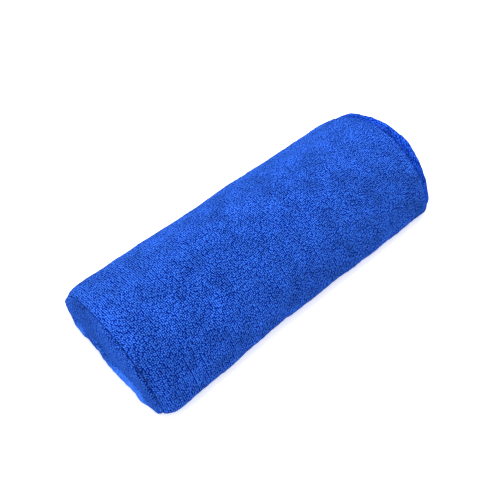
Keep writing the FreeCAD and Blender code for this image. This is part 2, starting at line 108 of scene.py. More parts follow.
def arc(centre, radius, start, stop, step=0.25):
    """Points round an arc in the section plane, angles in radians."""
    count = max(2, int(abs(stop - start) * radius / step))
    turn = np.linspace(start, stop, count)
    return np.column_stack([centre[0] + radius * np.cos(turn), centre[1] + radius * np.sin(turn)])


def section_outline():
    """The D outline from the front seam over the crown, down to the zip and back along the base."""
    side = WIDTH / 2 - CORNER
    crown = (side**2 + (HEIGHT - CORNER) ** 2 - CORNER**2) / (2 * (HEIGHT - 2 * CORNER))
    middle = (0.0, HEIGHT - crown)
    lean = math.atan2(CORNER - middle[1], side)
    seam = -math.pi / 2 - FRONT_SEAM_TURN
    return np.vstack([
        arc((-side, CORNER), CORNER, seam, -math.pi - lean),
        arc(middle, crown, math.pi - lean, lean)[1:],
        arc((side, CORNER), CORNER, lean, -math.pi / 2)[1:],
        np.column_stack([np.linspace(side, -side, 400)[1:], np.zeros(399)]),
        arc((-side, CORNER), CORNER, -math.pi / 2, seam)[1:],
    ])


OUTLINE = section_outline()
STEPS = np.hypot(*np.diff(OUTLINE, axis=0).T)
ALONG = np.concatenate([[0.0], np.cumsum(STEPS)])
ROUND = ALONG[-1]
TANGENT = unit(np.gradient(OUTLINE, ALONG, axis=0))
OUTWARD = np.column_stack([-TANGENT[:, 1], TANGENT[:, 0]])
TO_ZIP = ALONG[np.argmin(np.hypot(OUTLINE[:, 0] - WIDTH / 2, OUTLINE[:, 1] - CORNER))]


def section(s, inset=0.0):
    """The outline's y and z at a distance s round it, moved in by inset."""
    s = np.mod(s, ROUND * (1 + 1e-12))
    y = np.interp(s, ALONG, OUTLINE[:, 0]) - inset * np.interp(s, ALONG, OUTWARD[:, 0])
    z = np.interp(s, ALONG, OUTLINE[:, 1]) - inset * np.interp(s, ALONG, OUTWARD[:, 1])
    return y, z


def smooth(value, low, high):
    """0 below low, 1 above high and an even curve between."""
    t = np.clip((value - low) / (high - low), 0.0, 1.0)
    return t * t * (3 - 2 * t)

def bell(value, middle, wide):
    """1 at the middle, falling off on both sides."""
    return np.exp(-((value - middle) / wide) ** 2)


def waves(run, length, start=0.0):
    """A sine wave of some length."""
    return np.sin(2 * np.pi * run / length + start)


def stacked(*parts):
    """Coordinates that fit together as one array of points."""
    return np.stack(np.broadcast_arrays(*parts), axis=-1)


def towards_middle(y, z, share):
    """A ring's y and z drawn in towards the middle of an end, where the share is 0."""
    return [centre + (value - centre) * share for centre, value in zip(DISC_CENTRE, (y, z))]


def dome(share):
    """How much of its bulge an end has at a share of the way from its middle to its rim."""
    return 1 - share**DOME_POWER


def sewn_shape(points):
    """Bends points of the plain prism into the sewn cushion: drawn-in ends, front waist, low arch."""
    x, y, z = points[..., 0], points[..., 1], points[..., 2]
    far = np.clip(np.abs(x) / HALF, 0, 1)
    end = np.clip((np.abs(x) - (HALF - END_ROUND)) / END_ROUND, 0, 1)
    shaped_y = y * (1 - END_DRAW * end**2)
    low = np.clip(1 - z / WAIST_TOP, 0, 1)
    front = np.clip(-shaped_y / (WIDTH / 4), 0, 1)
    run = np.where(x < NOTCH_X, HALF + NOTCH_X, HALF - NOTCH_X)
    from_notch = np.sqrt((x - NOTCH_X) ** 2 + NOTCH_SOFT) / run
    shaped_y = shaped_y + WAIST * np.clip(WAIST_FULL - from_notch, 0, 1) * low * front
    shaped_z = z * (1 + END_RISE * end**2 - ARCH * far**2 - SETTLE * (1 - far**2))
    return stacked(x, shaped_y, shaped_z)


def ripple(points, size, seed):
    """A smooth, repeatable noise of about -1 to 1 whose bumps are about size across."""
    rng = np.random.default_rng(seed)
    way = unit(rng.normal(size=(RIPPLE_WAVES, 3)))
    rate = 2 * math.pi / (size * rng.uniform(1.4, 2.6, RIPPLE_WAVES))
    phase = rng.uniform(0, 2 * math.pi, RIPPLE_WAVES)
    total = np.zeros(points.shape[:-1])
    for w, r, p in zip(way, rate, phase):
        total += np.sin(points @ (w * r) + p)
    return total / math.sqrt(RIPPLE_WAVES)


# ---------------- grids and meshes

PANEL_STEP = 1.2
EDGE_STEPS = np.array([0.0, 0.12, 0.4, 0.8, 1.3, 2.0, 3.0])


def spaced(length, step):
    """Distances from 0 to length, step apart, closer together near both ends."""
    first, last = EDGE_STEPS, length - EDGE_STEPS[::-1]
    count = max(2, int(round((last[0] - first[-1]) / step)))
    inner = np.linspace(first[-1], last[0], count + 1)[1:-1]
    return np.concatenate([first, inner, last])


def grid_normals(points, towards):
    """Unit normals of a grid of points, turned to the side where towards is positive."""
    normal = unit(np.cross(np.gradient(points, axis=0), np.gradient(points, axis=1)))
    return normal if np.median(np.sum(normal * towards, axis=-1)) >= 0 else -normal


def grid_faces(rows, columns, start=0, wrap=False, flip=False):
    """Quads of a grid of rows x columns, closed from the last row to the first if it wraps."""
    count = rows if wrap else rows - 1
    i, j = np.meshgrid(np.arange(count), np.arange(columns - 1), indexing="ij")
    i, j = i.ravel(), j.ravel()
    k = (i + 1) % rows
    quads = np.column_stack([i * columns + j, k * columns + j, k * columns + j + 1, i * columns + j + 1])
    if flip:
        quads = quads[:, ::-1]
    return quads + start


def strip_faces(first, second, closed=False, flip=False):
    """Quads between two equal rows of vertex numbers."""
    if closed:
        first, second = np.append(first, first[0]), np.append(second, second[0])
    quads = np.column_stack([first[:-1], first[1:], second[1:], second[:-1]])
    return quads[:, ::-1] if flip else quads

def fan(ring, centre, flip=False):
    """Triangles from a closed ring of vertex numbers to a centre."""
    pairs = zip(ring.tolist(), np.roll(ring, -1).tolist())
    return [[b, a, centre] if flip else [a, b, centre] for a, b in pairs]


def raise_to(points, low):
    """Keeps points from lying lower than low."""
    points[..., 2] = np.maximum(points[..., 2], low)


def new_object(name, data):
    """An object in the scene."""
    thing = bpy.data.objects.new(name, data)
    bpy.context.scene.collection.objects.link(thing)
    return thing


def closed(ring):
    """A ring of points with its first one again at its end."""
    return np.concatenate([ring, ring[:1]])


def mesh_piece(name, points, faces, material, attributes=None):
    """A mesh object from points in millimetres that rides on the cushion."""
    mesh = bpy.data.meshes.new(name)
    mesh.from_pydata((np.asarray(points) * MM).tolist(), [], [list(map(int, f)) for f in faces])
    mesh.validate()
    for key, values in (attributes or {}).items():
        kind = "FLOAT" if np.ndim(values) == 1 else "FLOAT_VECTOR"
        field = "value" if kind == "FLOAT" else "vector"
        layer = mesh.attributes.new(key, kind, "POINT")
        layer.data.foreach_set(field, np.asarray(values, np.float32).ravel())
    mesh.shade_smooth()
    piece = new_object(name, mesh)
    mesh.materials.append(material)
    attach(piece, "cushion")
    return piece


def sheet_mesh(outer, inner, wrap=False, last_rim=True):
    """Points and faces of a closed sheet with an outer and an inner layer of the same grid."""
    rows, columns = outer.shape[:2]
    count = rows * columns
    points = np.vstack([outer.reshape(-1, 3), inner.reshape(-1, 3)])
    number = np.arange(count).reshape(rows, columns)
    faces = [grid_faces(rows, columns, 0, wrap, True), grid_faces(rows, columns, count, wrap)]
    faces.append(strip_faces(number[:, 0], number[:, 0] + count, wrap, True))
    if last_rim:
        faces.append(strip_faces(number[:, -1], number[:, -1] + count, wrap))
    if not wrap:
        faces.append(strip_faces(number[0], number[0] + count))
        faces.append(strip_faces(number[-1], number[-1] + count, False, True))
    return points, np.vstack(faces)

# ---------------- the two ends

# The left end is slack, the right one full. Each has the way it faces; how far its seam lies inside and
# more so over the crown; its rim's radius; its bulge; how deep, wide and gathered the cloth is drawn in
# beside its seam; the height of its own puckers; and how far padding fills it.
LEFT = SimpleNamespace(way=-1.0, inside=1.9, more=0.3, rim=1.5, bulge=SLACK_BULGE,
                       deep=1.2, wide=4.0, gather=0.34, pucker=0.42, fill=0.65)
RIGHT = SimpleNamespace(way=1.0, inside=3.3, more=0.9, rim=2.9, bulge=BULGE,
                        deep=1.5, wide=2.4, gather=0.14, pucker=0.1, fill=0.8)
SEAM_LAP = 0.5
SEAM_WAVES = ((0.22, 23.0, 0.7), (0.14, 9.5, 0.0))  # height, length, start
RIM_STEPS = np.append(EDGE_STEPS, [4.0, 5.0, 6.0]) / 6.0
FACE_STEPS = 33
FACE_CROWDING = 1.15
FACE_REACH = 0.97


def seam_inside(s, end):
    """How far the end seam lies in from the end of the crown, all the way round the outline."""
    over = np.sin(np.pi * np.clip(s / TO_ZIP, 0, 1))
    wave = sum(tall * waves(s, length, start) for tall, length, start in SEAM_WAVES)
    return end.inside + (end.more + wave) * over


def zip_gap(x):
    """How far each panel's edge stands back from the zip's centre line."""
    return ZIP_OPENING * (1 - smooth(np.abs(x), ZIP_HALF - 0.6, ZIP_HALF + 1.0))


def rolled(distance):
    """How deep a panel turns in at a distance from its edge."""
    short = np.clip(EDGE_ROLL - distance, 0, EDGE_ROLL)
    return EDGE_ROLL - np.sqrt(EDGE_ROLL**2 - short**2)


def side_panel(first, last):
    """A panel from end seam to end seam: its plain points, place round the outline and edge distances.

    The crown runs from the front seam, at 0, to the zip, and the base from the zip to the front seam.
    """
    rows = spaced(last - first, PANEL_STEP) / (last - first)
    columns = spaced(2 * HALF, PANEL_STEP) / (2 * HALF)
    s = first + rows[:, None] * (last - first)
    left, right = seam_inside(s, LEFT) - HALF, HALF - seam_inside(s, RIGHT)
    x = left + columns * (right - left)
    gap = zip_gap(x)
    if first == 0:
        s = rows[:, None] * (last - gap)
        to_seam, to_zip = s, last - gap - s
    else:
        s = first + gap + rows[:, None] * (last - first - gap)
        to_seam, to_zip = last - s, s - first - gap
    plain = stacked(x, *section(s))
    return plain, s, {"seam": to_seam, "zip": to_zip, "left": x - left, "right": right - x}


def end_panel(end):
    """An end panel: round the rim from its seam, then in over the D-shaped face to its middle."""
    s = np.linspace(0, ROUND, int(ROUND / PANEL_STEP), endpoint=False)[:, None]
    inside = seam_inside(s, end)
    flat = inside - end.rim + SEAM_LAP
    whole = flat + end.rim * math.pi / 2
    rim_way = RIM_STEPS * whole
    turn = np.clip((rim_way - flat) / end.rim, 0, math.pi / 2)
    x_rim = HALF - inside - SEAM_LAP + np.minimum(rim_way, flat) + end.rim * np.sin(turn)
    y_rim, z_rim = section(s, end.rim * (1 - np.cos(turn)))
    y_in, z_in = section(s, end.rim)
    share = 1 - FACE_REACH * np.linspace(0, 1, FACE_STEPS)[1:] ** FACE_CROWDING
    y_face, z_face = towards_middle(y_in, z_in, share)
    x = end.way * np.hstack([x_rim, HALF + end.bulge * dome(share) + 0 * y_face])
    plain = stacked(x, np.hstack([y_rim, y_face]), np.hstack([z_rim, z_face]))
    y_cloth, z_cloth = section(s, end.rim - whole + rim_way)
    steps = np.hypot(np.diff(np.hstack([y_in, y_face])), np.diff(np.hstack([z_in, z_face])))
    edges = {
        "seam": np.hstack([rim_way, whole + steps.cumsum(axis=1)]),
        "y": np.hstack([y_cloth, y_face]),
        "z": np.hstack([z_cloth, z_face]),
        "ring": np.hstack([1 + 0 * rim_way, share + 0 * y_face]),
    }
    return plain, s + 0 * x, edges


# ---------------- cloth simulation of the cover

SIM_STEP = 5.0
SIM_INSET = 1.4
SIM_FRAMES = 20
SIM_RINGS = np.array([1.0, 0.9, 0.78, 0.64, 0.5, 0.36, 0.22, 0.1])
SWELL_LIMIT = 3.5
HELD_BASE, HELD_ZIP, HELD_SEAM = 2.0, 7.0, 3.0  # what lies nearer than this is held
SEAM_HOLD, RIGHT_SLACK = 0.7, 0.5
CLOTH = {
    "quality": 6,
    "mass": 0.3,
    "tension_stiffness": 15,
    "compression_stiffness": 8,
    "shear_stiffness": 5,
    "bending_stiffness": 0.3,
    "vertex_group_mass": "held",
    "use_pressure": True,
    "uniform_pressure_force": 4.0,
    "vertex_group_shrink": "slack",
    "shrink_min": 0.0,
    "shrink_max": -0.07,
}


def simulated_cover():
    """Inflates a closed cover held at its seams. Returns how far its sides and ends moved."""
    around, rings = int(ROUND / SIM_STEP), SIM_RINGS.size - 1
    s = np.linspace(0, ROUND, around, endpoint=False)
    x = np.linspace(-HALF, HALF, int(2 * HALF / SIM_STEP) + 1)
    y, z = (value[:, None] for value in section(s, SIM_INSET))
    parts = [stacked(x, y, z)]
    for end in (LEFT, RIGHT):
        disc_x = end.way * (HALF + end.bulge * dome(SIM_RINGS[1:]))
        parts.append(stacked(disc_x, *towards_middle(y, z, SIM_RINGS[1:])))
    parts.append(np.array([[end.way * (HALF + end.bulge), *DISC_CENTRE] for end in (LEFT, RIGHT)]))
    points = sewn_shape(np.vstack([part.reshape(-1, 3) for part in parts]))
    side_count = around * x.size
    number = np.arange(side_count).reshape(around, x.size)
    faces, triangles = [grid_faces(around, x.size, 0, True, True)], []
    for k, edge in enumerate((number[:, 0], number[:, -1])):
        start = side_count + k * around * rings
        disc = np.arange(around * rings).reshape(around, rings) + start
        faces.append(strip_faces(edge, disc[:, 0], True, k == 0))
        faces.append(grid_faces(around, rings, start, True, k == 1))
        triangles += fan(disc[:, -1], len(points) - 2 + k, k == 1)

    mesh = bpy.data.meshes.new("cover_at_rest")
    mesh.from_pydata((points * MM).tolist(), [], np.vstack(faces).tolist() + triangles)
    cover = new_object("cover_at_rest", mesh)
    held = cover.vertex_groups.new(name="held")
    slack = cover.vertex_groups.new(name="slack")
    fixed = np.abs(points[:, 2] - points[:, 2].min()) < HELD_BASE
    fixed[:side_count] |= np.repeat(np.abs(s - TO_ZIP) < HELD_ZIP, x.size)
    seams = np.abs(np.abs(points[:, 0]) - (HALF - 2.5)) < HELD_SEAM
    on_end, left = np.arange(len(points)) >= side_count, points[:, 0] < 0
    for group, chosen, weight in (
        (held, fixed, 1.0), (held, seams & ~fixed, SEAM_HOLD),
        (slack, on_end & left, 1.0), (slack, on_end & ~left, RIGHT_SLACK),
    ):
        group.add(np.flatnonzero(chosen).tolist(), weight, "REPLACE")
    cloth = cover.modifiers.new("Cloth", "CLOTH")
    for key, value in CLOTH.items():
        setattr(cloth.settings, key, value)
    cloth.settings.effector_weights.gravity = 0.0
    cloth.collision_settings.use_collision = False
    scene = bpy.context.scene
    for step in range(1, SIM_FRAMES + 1):
        scene.frame_set(step)
    ready = cover.evaluated_get(bpy.context.evaluated_depsgraph_get())
    moved = np.zeros(len(points) * 3)
    ready.data.vertices.foreach_get("co", moved)
    shift = moved.reshape(-1, 3) / MM - points
    bpy.data.objects.remove(cover)
    bpy.data.meshes.remove(mesh)
    scene.frame_set(1)
    length = np.linalg.norm(shift, axis=1)[:, None]
    shift *= np.tanh(length / SWELL_LIMIT) * SWELL_LIMIT / np.maximum(length, 1e-6)
    side_shift = shift[:side_count].reshape(around, x.size, 3)
    disc_shifts = []
    for k, edge in enumerate((side_shift[:, 0], side_shift[:, -1])):
        start = side_count + k * around * rings
        disc = shift[start:start + around * rings].reshape(around, rings, 3)
        disc_shifts.append(np.concatenate([edge[:, None], disc], axis=1))
    return side_shift, disc_shifts


def at_grid(field, row, column):
    """Bilinear values of a field that closes on itself along its first axis."""
    row = np.mod(row, field.shape[0])
    column = np.clip(column, 0, field.shape[1] - 1)
    i, j = np.floor(row).astype(int), np.minimum(np.floor(column).astype(int), field.shape[1] - 2)
    a, b = (row - i)[..., None], (column - j)[..., None]
    i, k = i % field.shape[0], (i + 1) % field.shape[0]
    low = field[i, j] * (1 - a) + field[k, j] * a
    high = field[i, j + 1] * (1 - a) + field[k, j + 1] * a
    return low * (1 - b) + high * b


SIDE_SHIFT, DISC_SHIFTS = simulated_cover()


def side_swell(s, x):
    """How far the simulation moved the cover's side at a place round and along it."""
    row = s / ROUND * SIDE_SHIFT.shape[0]
    column = (x + HALF) / (2 * HALF) * (SIDE_SHIFT.shape[1] - 1)
    return at_grid(SIDE_SHIFT, row, column)


def disc_swell(s, ring, end):
    """How far the simulation moved an end panel."""
    field = DISC_SHIFTS[0 if end is LEFT else 1]
    row = s / ROUND * field.shape[0]
    column = np.interp(-ring, -SIM_RINGS, np.arange(SIM_RINGS.size))
    return at_grid(field, row, column)


# ---------------- materials

def new_material(name):
    """An empty node material and its tree."""
    material = bpy.data.materials.new(name)
    material.use_nodes = True
    return material, material.node_tree


def feed(tree, inputs, values):
    """Sets or links some of a node's inputs."""
    for key, value in values.items():
        if isinstance(value, bpy.types.NodeSocket):
            tree.links.new(value, inputs[key])
        else:
            inputs[key].default_value = value


def add(tree, kind, values=None, **settings):
    """Adds a node, sets its properties, and sets or links its inputs."""
    node = tree.nodes.new(kind)
    for key, value in settings.items():
        setattr(node, key, value)
    feed(tree, node.inputs, values or {})
    return node


def attribute(tree, name, output="Vector"):
    """What the mesh stores at its points under a name."""
    return add(tree, "ShaderNodeAttribute", attribute_name=name).outputs[output]


def sums(tree, operation, first, second=0.0, third=0.0):
    """The output of one math node."""
    node = add(tree, "ShaderNodeMath", {0: first, 1: second, 2: third}, operation=operation)
    return node.outputs[0]


def weighed(tree, start, *parts):
    """A start with each value added times its weight."""
    for value, weight in parts:
        start = sums(tree, "MULTIPLY_ADD", value, weight, start)
    return start


def sine(tree, value, length):
    """A sine wave of some length."""
    return sums(tree, "SINE", sums(tree, "MULTIPLY", value, 2 * math.pi / length))


def vectors(tree, operation, first, second):
    """The output of one vector math node."""
    key = "Scale" if operation == "SCALE" else 1
    return add(tree, "ShaderNodeVectorMath", {0: first, key: second}, operation=operation).outputs[0]


def noise(tree, vector, size, detail=2.0, roughness=0.5):
    """Noise with bumps about size across, in the vector's own unit."""
    values = {"Vector": vector, "Scale": 1.0 / size, "Detail": detail, "Roughness": roughness}
    return add(tree, "ShaderNodeTexNoise", values).outputs["Fac"]


def remap(tree, value, low, high, to_low=0.0, to_high=1.0, kind="SMOOTHSTEP"):
    """A value spread from one range over another."""
    values = {"Value": value, "From Min": low, "From Max": high, "To Min": to_low, "To Max": to_high}
    return add(tree, "ShaderNodeMapRange", values, interpolation_type=kind).outputs["Result"]


def ramp(tree, value, stops):
    """A colour ramp from (place, colour) pairs."""
    node = add(tree, "ShaderNodeValToRGB", {"Fac": value})
    points = node.color_ramp.elements
    while len(points) < len(stops):
        points.new(0.5)
    for point, (place, colour) in zip(points, stops):
        point.position = place
        point.color = (*colour, 1.0)
    return node.outputs["Color"]


def tinted(tree, colour, amount):
    """A colour multiplied by a number from a node."""
    grey = add(tree, "ShaderNodeCombineColor", {0: amount, 1: amount, 2: amount}).outputs[0]
    values = {"Factor": 1.0, 6: colour, 7: grey}
    return add(tree, "ShaderNodeMix", values, data_type="RGBA", blend_type="MULTIPLY").outputs[2]


def finish_material(tree, colour, roughness, height, depth, strength=1.0, **others):
    """Wires colour, roughness and a height in millimetres into the material's shader."""
    bump = add(tree, "ShaderNodeBump", {"Height": height, "Distance": depth * MM, "Strength": strength})
    values = {"Base Color": colour, "Roughness": roughness, "Normal": bump.outputs["Normal"]}
    values.update((key.replace("_", " "), value) for key, value in others.items())
    feed(tree, tree.nodes["Principled BSDF"].inputs, values)


LOOP_WIDE = 1.5
LOOP_LONG = 1.42
LOOP_WANDER = 1.1


def towelling():
    """Looped towelling: ribs of loops, painted shade in the dark gaps between them and painted highlights
    on the loop tips, and a nap brushed in soft patches.
    """
    material, tree = new_material("towelling")
    cloth = attribute(tree, "cloth")
    brushed_highlight, pressed_and_shaded = attribute(tree, "brushed_highlight", "Fac"), attribute(tree, "pressed_and_shaded", "Fac")
    wander = add(tree, "ShaderNodeTexNoise", {"Vector": cloth, "Scale": 1 / 2.0, "Detail": 2.0})
    off_middle = vectors(tree, "SUBTRACT", wander.outputs["Color"], (0.5, 0.5, 0.5))
    place = vectors(tree, "ADD", cloth, vectors(tree, "SCALE", off_middle, LOOP_WANDER))
    scaled = vectors(tree, "MULTIPLY", place, (1 / LOOP_WIDE, 1 / LOOP_LONG, 1.0))
    cells = add(tree, "ShaderNodeTexVoronoi", {"Vector": scaled, "Scale": 1.0, "Randomness": 0.6},
                voronoi_dimensions="2D")
    loop = remap(tree, cells.outputs["Distance"], 0.1, 0.62, 1.0, 0.0)
    own = add(tree, "ShaderNodeSeparateColor", {"Color": cells.outputs["Color"]}).outputs[0]
    axis = add(tree, "ShaderNodeSeparateXYZ", {"Vector": scaled}).outputs[0]
    rib = weighed(tree, 0.5, (sine(tree, axis, 1.0), 0.5))
    thread = noise(tree, cloth, 0.28)
    height = weighed(tree, sums(tree, "MULTIPLY", rib, 0.14), (loop, 0.62), (own, 0.22), (thread, 0.2))
    height = weighed(tree, 0.495, (sums(tree, "SUBTRACT", height, 0.5), 0.95))
    calmer = weighed(tree, 1.0, (brushed_highlight, -0.45), (pressed_and_shaded, -0.4))
    level = sums(tree, "MULTIPLY_ADD", sums(tree, "SUBTRACT", height, 0.5), calmer, 0.5)
    # Where the nap lies flat along the left end's folds the colour is painted lighter, a painted highlight;
    # along the right end's seam the pressed band is painted a little darker, painted shade.
    level = weighed(tree, level, (brushed_highlight, 0.33), (pressed_and_shaded, -0.03))
    # The ramp paints the gaps between the loops dark, as painted shade, and the loop tips light, as painted
    # highlights.
    colour = ramp(tree, level, [
        (0.17, (0.0004, 0.005, 0.13)),
        (0.41, (0.0022, 0.026, 0.31)),
        (0.60, (0.0115, 0.077, 0.56)),
        (0.90, (0.055, 0.21, 0.84)),
    ])
    nap = noise(tree, cloth, 17.0, 3.0, 0.6)
    broad = noise(tree, cloth, 60.0, 1.0)
    patches = sums(tree, "ADD", remap(tree, nap, 0.3, 0.7, -0.2, 0.17),
                   remap(tree, broad, 0.3, 0.7, 0.93, 1.07))
    colour = tinted(tree, colour, patches)
    finish_material(
        tree, colour, remap(tree, height, 0.1, 0.9, 1.0, 0.82), level, 1.1, 1.0,
        Sheen_Weight=0.12, Sheen_Roughness=0.25, Sheen_Tint=(0.2, 0.5, 1.0, 1.0), Specular_IOR_Level=0.0,
    )
    return material


def woven_tape():
    """Zip tape: fine herringbone ribs."""
    material, tree = new_material("zip_tape")
    cloth = attribute(tree, "cloth")
    parts = add(tree, "ShaderNodeSeparateXYZ", {"Vector": cloth})
    zigzag = sums(tree, "PINGPONG", parts.outputs[1], 1.1)
    warp = sine(tree, parts.outputs[1], 0.55)
    weft = sine(tree, sums(tree, "ADD", parts.outputs[0], zigzag), 0.7)
    weave = sums(tree, "MULTIPLY", warp, weft)
    height = weighed(tree, 0.5, (weave, 0.5), (noise(tree, cloth, 0.3), 0.25))
    # The ramp paints the low parts of the weave darker, as painted shade in its hollows.
    colour = ramp(tree, height, [(0.0, (0.004, 0.018, 0.17)), (0.6, (0.012, 0.055, 0.36)),
                                 (1.0, (0.03, 0.11, 0.55))])
    finish_material(tree, colour, 0.75, height, 0.15, 0.8, Sheen_Weight=0.25)
    return material


def object_place(tree):
    """Object coordinates in millimetres."""
    place = add(tree, "ShaderNodeTexCoord").outputs["Object"]
    return vectors(tree, "SCALE", place, 1 / MM)


def twisted_thread():
    """Polyester sewing thread: plies that show as slanted lines, a little shine."""
    material, tree = new_material("thread")
    parts = add(tree, "ShaderNodeSeparateXYZ", {"Vector": attribute(tree, "cloth")})
    slant = sums(tree, "ADD", sums(tree, "MULTIPLY", parts.outputs[0], 2 * math.pi / 0.5), parts.outputs[1])
    fibres = noise(tree, object_place(tree), 0.15)
    height = weighed(tree, 0.5, (sums(tree, "SINE", slant), 0.5), (fibres, 0.3))
    # The ramp paints the grooves between the plies darker, as painted shade, and their crests lighter, as
    # painted highlights.
    colour = ramp(tree, height, [(0.1, (0.006, 0.028, 0.24)), (0.9, (0.035, 0.14, 0.66))])
    finish_material(tree, colour, 0.5, height, 0.06, 0.8, Sheen_Weight=0.3)
    return material


def nylon():
    """Dyed nylon monofilament: slightly waxy, with faint cloudiness and scuffs."""
    material, tree = new_material("zip_coil")
    place = object_place(tree)
    cloud = noise(tree, place, 6.0, 3.0)
    colour = ramp(tree, cloud, [(0.3, (0.008, 0.04, 0.26)), (0.7, (0.018, 0.075, 0.42))])
    fine = noise(tree, place, 0.2, 3.0)
    finish_material(tree, colour, remap(tree, fine, 0.3, 0.7, 0.28, 0.42), fine, 0.015, 0.5)
    return material


def enamel():
    """Royal blue enamel on die-cast zinc, finely scuffed and chipped in a few small spots."""
    material, tree = new_material("zip_metal")
    place = object_place(tree)
    wear = remap(tree, noise(tree, place, 0.7, 4.0, 0.65), 0.66, 0.72)
    cloud = noise(tree, place, 3.0, 3.0)
    paint = ramp(tree, cloud, [(0.3, (0.004, 0.035, 0.30)), (0.7, (0.010, 0.06, 0.42))])
    values = {"Factor": wear, 6: paint, 7: (0.42, 0.43, 0.46, 1.0)}
    colour = add(tree, "ShaderNodeMix", values, data_type="RGBA").outputs[2]
    scuff = noise(tree, place, 0.35, 4.0, 0.6)
    shine = remap(tree, scuff, 0.3, 0.7, 0.24, 0.44)
    metallic = remap(tree, wear, 0.0, 1.0, 0.0, 0.9)
    finish_material(tree, colour, shine, scuff, 0.02, 0.4, Coat_Weight=0.3, Metallic=metallic)
    return material


def foam_cells():
    """Open-cell foam: off-white, pitted with small pores."""
    material, tree = new_material("foam")
    place = object_place(tree)
    pores = add(tree, "ShaderNodeTexVoronoi", {"Vector": place, "Scale": 0.9, "Randomness": 1.0})
    depth = remap(tree, pores.outputs["Distance"], 0.1, 0.7)
    level = weighed(tree, sums(tree, "MULTIPLY", depth, 0.6), (noise(tree, place, 12.0), 0.4))
    # The ramp paints the pores darker, as painted shade in their hollows; the noise adds tone that varies
    # at random.
    colour = ramp(tree, level, [(0.1, (0.62, 0.55, 0.38)), (0.6, (0.84, 0.80, 0.66))])
    finish_material(tree, colour, 0.95, depth, 0.4, 0.8)
    return material


def liner_web():
    """Thin non-woven cloth: white, with a fine point-bonded grid."""
    material, tree = new_material("liner_cloth")
    place = object_place(tree)
    dots = add(tree, "ShaderNodeTexVoronoi", {"Vector": place, "Scale": 0.7, "Randomness": 0.15})
    bonded = remap(tree, dots.outputs["Distance"], 0.15, 0.4)
    fibres = noise(tree, place, 0.5, 4.0, 0.7)
    level = weighed(tree, sums(tree, "MULTIPLY", bonded, 0.5), (fibres, 0.4))
    colour = ramp(tree, level, [(0.1, (0.66, 0.66, 0.63)), (0.8, (0.87, 0.87, 0.85))])
    finish_material(tree, colour, 0.9, level, 0.1, 0.7)
    return material


TOWELLING = towelling()
TAPE = woven_tape()
THREAD = twisted_thread()
COIL = nylon()
METAL = enamel()
FOAM = foam_cells()
LINER = liner_web()


# ---------------- tubes: stitches, loops and coils

STITCH_PITCH, STITCH_GAP = 3.0, 0.5
STITCH_RADIUS, STITCH_DIP = 0.28, 0.5
LOOP_APART, LOOP_RADIUS = 1.15, 0.24
LOOP_FOOT = np.array([-0.42, -0.36, 0.0, 0.36, 0.42])
LOOP_RISE = np.array([-0.35, 0.35, 1.0, 0.35, -0.35])


def path_length(path):
    """The distance along a path at each of its points."""
    return np.concatenate([[0.0], np.cumsum(np.linalg.norm(np.diff(path, axis=0), axis=1))])


def sampled(path, length, at):
    """What a path has at some distances along it."""
    return np.stack([np.interp(at, length, path[:, i]) for i in range(3)], axis=-1)


def tube(path, radius, sides=6, taper=0.55):
    """A closed tube along a path, thinner at its ends: its points, faces, and length and turn as cloth."""
    path = np.asarray(path, float)
    along = unit(np.gradient(path, axis=0))
    hint = np.array([0.0, 0.0, 1.0]) if abs(along[0, 2]) < 0.9 else np.array([0.0, 1.0, 0.0])
    first = unit(np.cross(along, hint))
    second = np.cross(along, first)
    turn = np.arange(sides) * 2 * math.pi / sides
    size = np.full(len(path), float(radius))
    size[[0, -1]] *= taper
    ring = first[:, None] * np.cos(turn)[None, :, None] + second[:, None] * np.sin(turn)[None, :, None]
    points = path[:, None] + ring * size[:, None, None]
    number = np.arange(len(path) * sides).reshape(len(path), sides)
    faces = [strip_faces(number[:, k], number[:, (k + 1) % sides]) for k in range(sides)]
    cloth = stacked(path_length(path)[:, None], turn, 0.0)
    ends = [number[0][::-1].tolist(), number[-1].tolist()]
    return points.reshape(-1, 3), np.vstack(faces).tolist() + ends, cloth.reshape(-1, 3)


def joined(parts):
    """Several (points, faces, cloth) lists as one."""
    points, faces, cloth, start = [], [], [], 0
    for p, f, c in parts:
        points.append(p)
        cloth.append(c)
        faces.extend([[i + start for i in face] for face in f])
        start += len(p)
    return np.vstack(points), faces, np.vstack(cloth)


def stitches(path, normals, lift):
    """A row of lockstitches along a path: each rises out of the cloth and dips back in."""
    length = path_length(path)
    count = int(length[-1] / STITCH_PITCH)
    rise = lift - (lift + STITCH_DIP) * np.abs(np.linspace(-1, 1, 7)) ** 3
    parts = []
    for k in range(count):
        start = k * length[-1] / count + STITCH_GAP / 2
        stop = (k + 1) * length[-1] / count - STITCH_GAP / 2
        at = np.linspace(start, stop, rise.size)
        line, up = sampled(path, length, at), sampled(normals, length, at)
        parts.append(tube(line + up * rise[:, None], STITCH_RADIUS))
    return joined(parts)


def edge_loops(path, normals, seed, tall=0.9, lean=None):
    """Small towelling loops standing along a seam, each a little different."""
    rng = np.random.default_rng(seed)
    length = path_length(path)
    count = int(length[-1] / LOOP_APART)
    parts = []
    for k in range(count):
        middle = (k + 0.5 + rng.uniform(-0.25, 0.25)) * length[-1] / count
        spread = LOOP_FOOT * rng.uniform(0.8, 1.4)
        line = sampled(path, length, np.clip(middle + spread, 0, length[-1]))
        up = sampled(normals, length, middle)
        if lean is not None:
            up = up + np.asarray(lean) * rng.uniform(-0.2, 0.9)
            up /= np.linalg.norm(up)
        rise = LOOP_RISE * tall * rng.uniform(0.7, 1.25)
        points, faces, cloth = tube(line + up * rise[:, None], LOOP_RADIUS, sides=5, taper=0.8)
        cloth = cloth * 0.4 + np.array([middle, 7.0 * seed, 0.0])
        parts.append((points, faces, cloth))
    return joined(parts)


# ---------------- the covers

